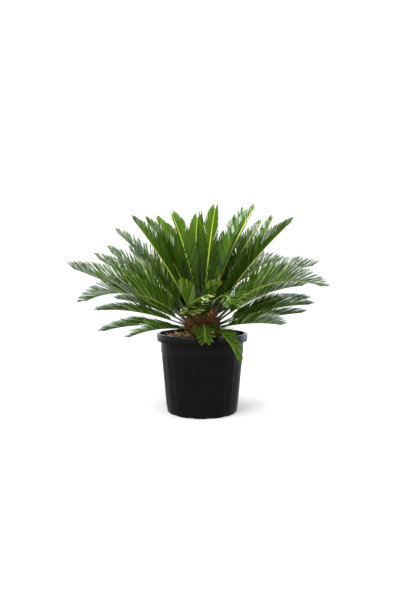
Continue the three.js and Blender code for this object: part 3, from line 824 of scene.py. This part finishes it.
SECTORS = {
    "upright": [
        ("upright_1", 152, 58, 535, 12, 0, 118, 56, 34),
        ("upright_2", 145, 63, 505, 18, 0, 115, 56, 34),
        ("upright_3", 115, 55, 560, 14, 0, 105, 56, 34),
        ("upright_4", 119, 66, 535, 18, 0, 112, 57, 32),
        ("upright_5", 101, 61, 560, 15, -18, 112, 57, 32),
        ("upright_6", 81, 61, 600, 10, -4, 118, 57, 32),
        ("upright_7", 55, 61, 584, 12, 0, 118, 57, 33),
        ("upright_8", 43, 63, 583, 14, 0, 118, 57, 33),
        ("upright_9", 29, 50, 572, -8, 10, 110, 56, 34),
        ("upright_10", 49, 53, 605, 12, 0, 112, 54, 35),
        ("upright_11", 17, 54, 565, 14, 0, 118, 54, 36),
        ("upright_12", 133, 61, 515, 10, 0, 108, 56, 33),
    ],
    "left": [
        ("left_1", 149, 46, 460, 7, 0, 130, 54, 38),
        ("left_2", 152, 50, 565, 14, 0, 130, 54, 38),
        ("left_3", 167, 42, 478, 4, 0, 145, 56, 40),
        ("left_4", 176, 30, 560, 11, 0, 170, 57, 40),
        ("left_5", 184, 40, 478, 68, 0, 150, 54, 42),
        ("left_6", 155, 24, 392, 20, 0, 90, 44, 38),
        ("left_7", 170, 19, 420, 25, 0, 90, 40, 36),
        ("left_8", 197, 10, 360, 25, 0, 95, 34, 38),
        ("left_9", 220, 8, 305, 25, 0, 85, 34, 38),
        ("left_10", 162, 36, 525, 8, 0, 155, 56, 38),
    ],
    "right": [
        ("right_1", 39, 50, 520, 46, 0, 150, 57, 42),
        ("right_2", 10, 44, 518, 37, 0, 150, 57, 44),
        ("right_3", 27, 32, 548, 20, 0, 140, 54, 42),
        ("right_4", 336, 46, 505, 66, 6, 145, 54, 42),
        ("right_5", 346, 38, 405, 34, 0, 120, 50, 42),
        ("right_6", 23, 21, 485, 20, 0, 115, 46, 40),
        ("right_7", 10, 20, 435, 20, 0, 110, 44, 40),
        ("right_8", 353, 14, 365, 9, 0, 105, 40, 40),
        ("right_9", 334, 13, 288, 20, 0, 100, 38, 42),
    ],
    "front": [
        ("front_1", 287, 10, 305, 70, 22, 84, 38, 32),
        ("front_2", 273, 20, 176, 90, 0, 82, 14, 60),
        ("front_3", 238, 41, 245, 22, 135, 72, -45, 60),
        ("front_4", 234, 51, 180, 6, 2, 104, 42, 38),
        ("front_5", 312, 60, 230, 110, -30, 135, 30, 62),
        ("front_6", 281, 46, 312, 38, 0, 80, 44, 42),
        ("front_7", 265, 48, 150, 60, 0, 62, -20, 55),
    ],
    "back": [
        ("back_1", 64, 34, 560, 30, 0, 120, 50, 42),
        ("back_2", 80, 42, 580, 28, 0, 120, 50, 40),
        ("back_3", 99, 40, 590, 28, 0, 120, 50, 40),
        ("back_4", 126, 38, 570, 28, 0, 120, 50, 42),
        ("back_5", 70, 16, 520, 28, 0, 115, 46, 42),
        ("back_6", 90, 22, 550, 30, 0, 115, 46, 42),
        ("back_7", 110, 18, 530, 28, 0, 115, 46, 42),
        ("back_8", 133, 24, 540, 26, 0, 115, 46, 42),
        ("back_9", 82, 2, 430, 26, 0, 105, 40, 42),
        ("back_10", 101, 2, 440, 26, 0, 105, 40, 42),
        ("back_11", 69, 51, 520, 8, 0, 115, 54, 36),
        ("back_12", 91, 57, 600, 8, 0, 115, 54, 36),
        ("back_13", 126, 50, 470, 8, 0, 115, 54, 36),
    ],
    "heart": [
        ("heart_1", 90, 76, 265, 6, 0, 90, 56, 28),
        ("heart_2", 205, 74, 235, 6, 0, 80, 56, 28),
        ("heart_3", 330, 75, 245, 6, 0, 85, 56, 28),
    ],
}

# How a frond looks: its leaflets' spacing and width in millimetres, how unruly they are in
# degrees, how many degrees steeper than the row's fold they stand, their bend forwards, sag,
# hooked ends and twist, how late they shorten towards the frond's tip, the colours that they
# take in zones from the crown outwards, those of their tips in the outer half, the colours
# of the petiole and the rib, and the width at the petiole's foot in millimetres.
# The shade colour in the zones nearest the crown is painted shade.
Style = namedtuple(
    "Style",
    "spacing width unruly steeper sweep sag hook twist fullness zones tips petiole rib stalk",
)

DENSE = Style(
    spacing=6.2, width=7.0, unruly=1.4, steeper=-9, sweep=0.25, sag=0.02, hook=0.0, twist=5,
    fullness=4.0, zones=("shade", "shade deep", "deep green", "green", "green fresh"), tips="",
    petiole="petiole_painted_shade", rib="rib_bright", stalk=13,
)
FRAYED = DENSE._replace(
    spacing=5.8, width=6.8, unruly=2.2, fullness=3.0, tips="fresh green grey",
    zones=("shade", "deep", "deep green", "green fresh", "green fresh grey"),
)
# Upright fronds whose outer leaflets and tips take the grey and pale colours: painted sheen.
SHEEN_TIPPED = DENSE._replace(
    spacing=5.6, width=6.8, unruly=2.0, steeper=-18, fullness=3.0,
    zones=("shade", "shade deep", "deep green", "deep green fresh", "green fresh grey"),
    tips="deep green fresh grey pale grey",
)
# Young fronds at the heart, kept in the shade colours and a near-black rib: painted shade in the
# middle of the crown.
HEART = DENSE._replace(
    spacing=14.0, width=4.0, steeper=8, zones=("shade", "shade", "shade deep"),
    tips="shade deep", rib="petiole_painted_shade",
)
OUTER = Style(
    spacing=5.0, width=4.8, unruly=3.4, steeper=0, sweep=0.30, sag=0.08, hook=0.1, twist=10,
    fullness=2.4, tips="mint grey pale deep", petiole="petiole", rib="rib_green", stalk=9,
    zones=("deep green", "green fresh mint", "deep fresh mint grey",
           "deep fresh mint grey pale", "green mint grey blue pale"),
)
LOW = Style(
    spacing=4.8, width=5.6, unruly=2.0, steeper=0, sweep=0.80, sag=0.15, hook=0.1, twist=10,
    fullness=4.0, tips="deep grey blue pale", petiole="petiole", rib="rib_dull", stalk=8,
    zones=("deep green", "deep green", "deep green mint", "deep green mint grey",
           "green mint grey blue"),
)
LOW_LEFT = LOW._replace(
    width=5.0, unruly=3.0, steeper=16, tips="mint grey blue pale",
    zones=("deep green", "deep green mint", "green mint", "green mint grey",
           "green mint grey blue"),
)
BACK = Style(
    spacing=5.6, width=6.2, unruly=2.0, steeper=0, sweep=0.30, sag=0.06, hook=0.1, twist=10,
    fullness=3.0, tips="", petiole="petiole", rib="rib_green", stalk=9,
    zones=("shade", "shade deep", "deep green", "green fresh", "fresh dull"),
)
TUFT = Style(
    spacing=4.6, width=5.4, unruly=4.0, steeper=0, sweep=0.30, sag=0.05, hook=1.0, twist=14,
    fullness=3.0, tips="green fresh lime", petiole="petiole_painted_shade", rib="rib_dull", stalk=7,
    zones=("shade deep", "deep", "deep green", "green fresh"),
)

# The style of each sector's fronds, and of the single fronds that look otherwise.
STYLES = {
    "upright": DENSE,
    "left": OUTER,
    "right": OUTER,
    "front": TUFT,
    "back": BACK,
    "heart": HEART,
    "back_12": BACK._replace(steeper=20),
    "right_4": OUTER._replace(rib="rib_bright", stalk=10),
    "front_1": TUFT._replace(
        spacing=5.0, width=5.2, unruly=3.0, hook=0.2, twist=6, tips="deep green",
        zones=("shade", "shade deep", "shade deep", "deep green dull"), rib="rib_green",
    ),
    "front_2": TUFT._replace(
        spacing=4.0, unruly=6.0, hook=1.3, zones=("shade", "shade deep", "deep"),
        tips="deep green fresh", rib="rib_green",
    ),
    "front_3": TUFT._replace(
        zones=("shade deep", "lime claw", "shade deep", "shade deep", "deep claw"),
        tips="deep claw", rib="straw_rib",
    ),
    "front_4": TUFT._replace(
        spacing=3.4, width=7.4, unruly=1.8, hook=0.35, twist=5, tips="green fresh lime mint",
        zones=("deep green mint", "green fresh", "green fresh mint"), rib="rib_green",
    ),
    "front_5": TUFT._replace(
        width=5.0, unruly=2.5, sweep=0.5, hook=0.2, sag=0.3, fullness=5.0,
        zones=("shade deep", "shade deep green", "deep green"),
        tips="deep green fresh mint", rib="rib_bright",
    ),
    "front_7": TUFT._replace(
        unruly=6.0, hook=0.8, zones=("shade deep", "deep"), tips="deep green",
    ),
}
STYLES.update({f"left_{i}": LOW_LEFT for i in (6, 7, 8, 9)})
STYLES.update({f"right_{i}": LOW for i in (6, 7, 8)})
STYLES["right_9"] = LOW_LEFT
STYLES.update({f"upright_{i}": SHEEN_TIPPED for i in (7, 9)})

# The upright fronds with thick pale ribs, and how many degrees steeper their leaflets are.
THICK_RIBBED = (
    (FRAYED, {1: 14, 2: 14, 3: 0}),
    (SHEEN_TIPPED, {8: -24, 10: -18, 11: 16}),
)
for kind, folds in THICK_RIBBED:
    for number, fold in folds.items():
        STYLES[f"upright_{number}"] = kind._replace(steeper=fold, stalk=18, rib="rib_pale")

# The shares of their full length and width that leaflets start with above the petiole, how
# fast they gain the rest, and the shares that they lose again towards the frond's tip.
LENGTH_START, LENGTH_GAIN, LENGTH_LOSS = 0.3, 2.4, 0.7
WIDTH_START, WIDTH_REST, WIDTH_GAIN, WIDTH_LOSS, WIDTH_POWER = 0.7, 0.3, 4, 0.35, 3
# How far the two leaflets of a pair stand before and behind its middle, as a share of the
# spacing, and the first one's place. Their feet are off the rib's line by shares of roughly
# its width.
PAIR_STAGGER, FIRST_LEAFLET = 0.25, 0.005
FOOT_OUT, FOOT_UP = 0.36, 0.1
# How much single leaflets differ in length, sag, hook and twist, and in the place that
# their colours go by. Beyond TIPS_FROM their tips have colours of their own.
LENGTH_SCATTER, SAG_SCATTER, HOOK_SCATTER, TWIST_SCATTER = 0.008, 0.03, 0.3, 4
ZONE_SCATTER, TIPS_FROM = 0.06, 0.5


def rib_line(frond):
    """Points along a frond's rib, from its seat on the dome round the caudex to its tip."""
    bend = ((np.arange(PATH_STEPS) + 0.5) / PATH_STEPS) ** BEND_POWER
    climb = np.radians(frond.rise - frond.droop * bend)
    heading = np.radians(frond.azimuth + frond.swing * bend)
    level = np.cos(climb)
    strides = np.stack([level * np.cos(heading), level * np.sin(heading), np.sin(climb)], -1)
    steepness = max(0, frond.rise - STEEP_RISE)
    latitude = frond.rise * LATITUDE_PER_RISE + steepness * STEEP_LATITUDE
    latitude = math.radians(min(TOP_LATITUDE, latitude))
    reach = SEAT_RADIUS * math.cos(latitude)
    azimuth = math.radians(frond.azimuth)
    height = SEAT_BASE + SEAT_HEIGHT * math.sin(latitude)
    seat = np.array([reach * math.cos(azimuth), reach * math.sin(azimuth), height])
    step = frond.length * MM / PATH_STEPS
    return np.vstack([seat, seat + np.cumsum(strides * step, axis=0)])


def stations(line, shares):
    """Points, tangents, right sides and upsides along the rib's line."""
    knots = np.linspace(0, 1, len(line))
    slopes = np.gradient(line, axis=0)
    points = np.stack([np.interp(shares, knots, line[:, k]) for k in range(3)], -1)
    tangents = unit(np.stack([np.interp(shares, knots, slopes[:, k]) for k in range(3)], -1))
    rights = unit(np.cross(tangents, [0.0, 0.0, 1.0]))
    return points, tangents, rights, np.cross(rights, tangents)


def leaflet_length(longest, u, fullness):
    start = np.minimum(1, LENGTH_START + LENGTH_GAIN * u)
    return longest * start * (1 - LENGTH_LOSS * u ** fullness)


def leaflet_width(widest, u):
    start = WIDTH_START + WIDTH_REST * np.minimum(1, WIDTH_GAIN * u)
    return widest * start * (1 - WIDTH_LOSS * u ** WIDTH_POWER)


def stalk_width(style, place):
    """How wide the rib is at places from 0 at its foot to 1 at its tip."""
    return np.interp(place, [0, 1], [style.stalk * MM, style.stalk * RIB_TAPER * MM])


def add_leaflets(bundle, frond, style, slots):
    """Two rows of leaflets in a V. u runs from 0 above the petiole to 1 at the rib's tip."""
    pairs = int(round(frond.length * (1 - PETIOLE_SHARE) / style.spacing))
    order = np.repeat(np.arange(pairs), 2)
    side = np.tile([-1.0, 1.0], pairs)
    count = len(side)
    u = np.clip((order + 0.5 + PAIR_STAGGER * side) / pairs, FIRST_LEAFLET, 1)
    shares = PETIOLE_SHARE + (1 - PETIOLE_SHARE) * u
    points, tangents, rights, ups = stations(rib_line(frond), shares)
    unruly = math.radians(style.unruly)
    opening = np.radians(frond.opening + OPENING_SPREAD * (0.5 - u)) + rng.normal(0, unruly, count)
    lift = math.radians(frond.fold + style.steeper) + rng.normal(0, unruly, count)
    across = rights * (side * np.cos(lift))[:, None] + ups * np.sin(lift)[:, None]
    direction = tangents * np.cos(opening)[:, None] + across * np.sin(opening)[:, None]
    thickness = stalk_width(style, u)[:, None]
    foot = points + rights * (side[:, None] * thickness * FOOT_OUT) + ups * (thickness * FOOT_UP)
    scatter = 1 + rng.normal(0, LENGTH_SCATTER * style.unruly, count)
    blades = Blades(
        foot=foot,
        direction=unit(direction),
        across=tangents * side[:, None],
        length=leaflet_length(frond.leaflet * MM, u, style.fullness) * scatter,
        width=leaflet_width(style.width * MM, u),
        sweep=style.sweep * side,
        sag=style.sag + rng.normal(0, SAG_SCATTER, count),
        hook=style.hook * (1 + rng.normal(0, HOOK_SCATTER, count)),
        twist=np.radians(rng.normal(style.twist, TWIST_SCATTER, count)) * side,
    )
    place = u + rng.normal(0, ZONE_SCATTER, count)
    shades = tips = pick_by_zone(style.zones, place, slots)
    if style.tips:
        tips = np.where(place > TIPS_FROM, pick(style.tips, slots, count), shades)
    grow_blades(bundle, blades, LEAFLET_WIDTHS, shades, tips, keep_off_pot)


# A rib's sections are flatter above than below, and its foot flares. One with a stalk wider
# than STOUT_STALK, in millimetres, is taller too. Its colours change at shares of its length;
# the darker stretch just beyond the petiole, near the crown, is painted shade.
RIB_AROUND, PETIOLE_RINGS, RIB_RINGS = 8, 9, 44
RIB_STATIONS = np.concatenate([
    np.linspace(0, PETIOLE_SHARE, PETIOLE_RINGS),
    np.linspace(PETIOLE_SHARE, 1, RIB_RINGS)[1:],
])
RIB_HEIGHT, RIB_CROWN, RIB_KEEL = (8 * MM, 2.6 * MM), 0.30, 0.62
RIB_FLARE, FLARE_LENGTH = 0.7, 0.035
STOUT_STALK = 13
FOOT_COLOUR_END, RIB_PAINTED_SHADE_END = 0.045, 0.26


def add_rib(bundle, frond, style, slots):
    points, _, rights, ups = stations(rib_line(frond), RIB_STATIONS)
    flare = 1 + RIB_FLARE * np.exp(-RIB_STATIONS / FLARE_LENGTH)
    width = (stalk_width(style, RIB_STATIONS) * flare)[:, None]
    height = np.interp(RIB_STATIONS, [0, 1], RIB_HEIGHT) * max(1, style.stalk / STOUT_STALK)
    angle = round_angles(RIB_AROUND)
    tall = np.where(np.sin(angle) > 0, RIB_CROWN, RIB_KEEL) * np.sin(angle)
    rings = points[:, None, :] + rights[:, None, :] * (width / 2 * np.cos(angle))[..., None]
    rings = rings + ups[:, None, :] * (height[:, None] * tall)[..., None]
    tip = points[-1:] + (points[-1] - points[-2])
    points = np.vstack([rings.reshape(-1, 3), tip])
    body = ring_triangles(len(RIB_STATIONS), RIB_AROUND)[:, ::-1]
    tip_number = len(points) - 1
    last = tip_number - RIB_AROUND
    cap = [[last + k, tip_number, last + (k + 1) % RIB_AROUND] for k in range(RIB_AROUND)]
    foot = [[0, k, k + 1] for k in range(1, RIB_AROUND - 1)]
    triangles = np.concatenate([body, cap, foot])
    place = RIB_STATIONS[triangles.min(axis=1) // RIB_AROUND]
    # Beyond the petiole a stretch of the rib takes a darker colour: painted shade near the crown.
    limits = (FOOT_COLOUR_END, PETIOLE_SHARE, RIB_PAINTED_SHADE_END)
    colours = [slots[name] for name in ("petiole_foot", style.petiole, "rib_dull")]
    shades = np.select([place < limit for limit in limits], colours, slots[style.rib])
    bundle.add(points, triangles, shades)


SPINE_PAIRS, SPINE_SHARES = 6, (0.06, PETIOLE_SHARE - 0.012)
SPINE_OPENING, SPINE_SCATTER, SPINE_RISE = 50, 8, 0.2
SPINE_LENGTHS, SPINE_WIDTH, SPINE_OUT = (5, 16), 2.2 * MM, 3 * MM


def add_spines(bundle, frond, slots):
    """Short stiff leaflets, almost spines, up both sides of the petiole."""
    shares = np.repeat(np.linspace(*SPINE_SHARES, SPINE_PAIRS), 2)
    side = np.tile([-1.0, 1.0], SPINE_PAIRS)[:, None]
    points, tangents, rights, ups = stations(rib_line(frond), shares)
    count = len(side)
    opening = np.radians(SPINE_OPENING + rng.normal(0, SPINE_SCATTER, count))[:, None]
    across = rights * side
    direction = tangents * np.cos(opening) + across * np.sin(opening) + ups * SPINE_RISE
    still = np.zeros(count)
    blades = Blades(
        foot=points + across * SPINE_OUT,
        direction=unit(direction),
        across=tangents * side,
        length=np.linspace(*SPINE_LENGTHS, count) * MM,
        width=np.full(count, SPINE_WIDTH),
        sweep=still, sag=still, hook=still, twist=still,
    )
    shades = pick("petiole rib_dull", slots, count)
    grow_blades(bundle, blades, SPLINTER_WIDTHS, shades, shades, keep_off_pot)


def add_crown():
    leaves, leaf_slots = palette(LEAF_COLOURS)
    ribs, rib_slots = palette(RIB_COLOURS)
    for sector, rows in SECTORS.items():
        leaflets, stalks = Bundle(), Bundle()
        fronds = [Frond(*row) for row in rows]
        for frond in fronds:
            style = STYLES.get(frond.name, STYLES[sector])
            add_leaflets(leaflets, frond, style, leaf_slots)
            add_rib(stalks, frond, style, rib_slots)
            add_spines(stalks, frond, rib_slots)
        nodes = [f"frond_{frond.name}" for frond in fronds]
        leaflets.piece(f"leaflets_{sector}", leaves, "frond", nodes)
        stalks.piece(f"ribs_{sector}", ribs, "frond", nodes)


# ---- assembly ----

add_camera()
add_studio()
add_pot()
add_mix()
add_litter()
add_caudex()
add_crown()
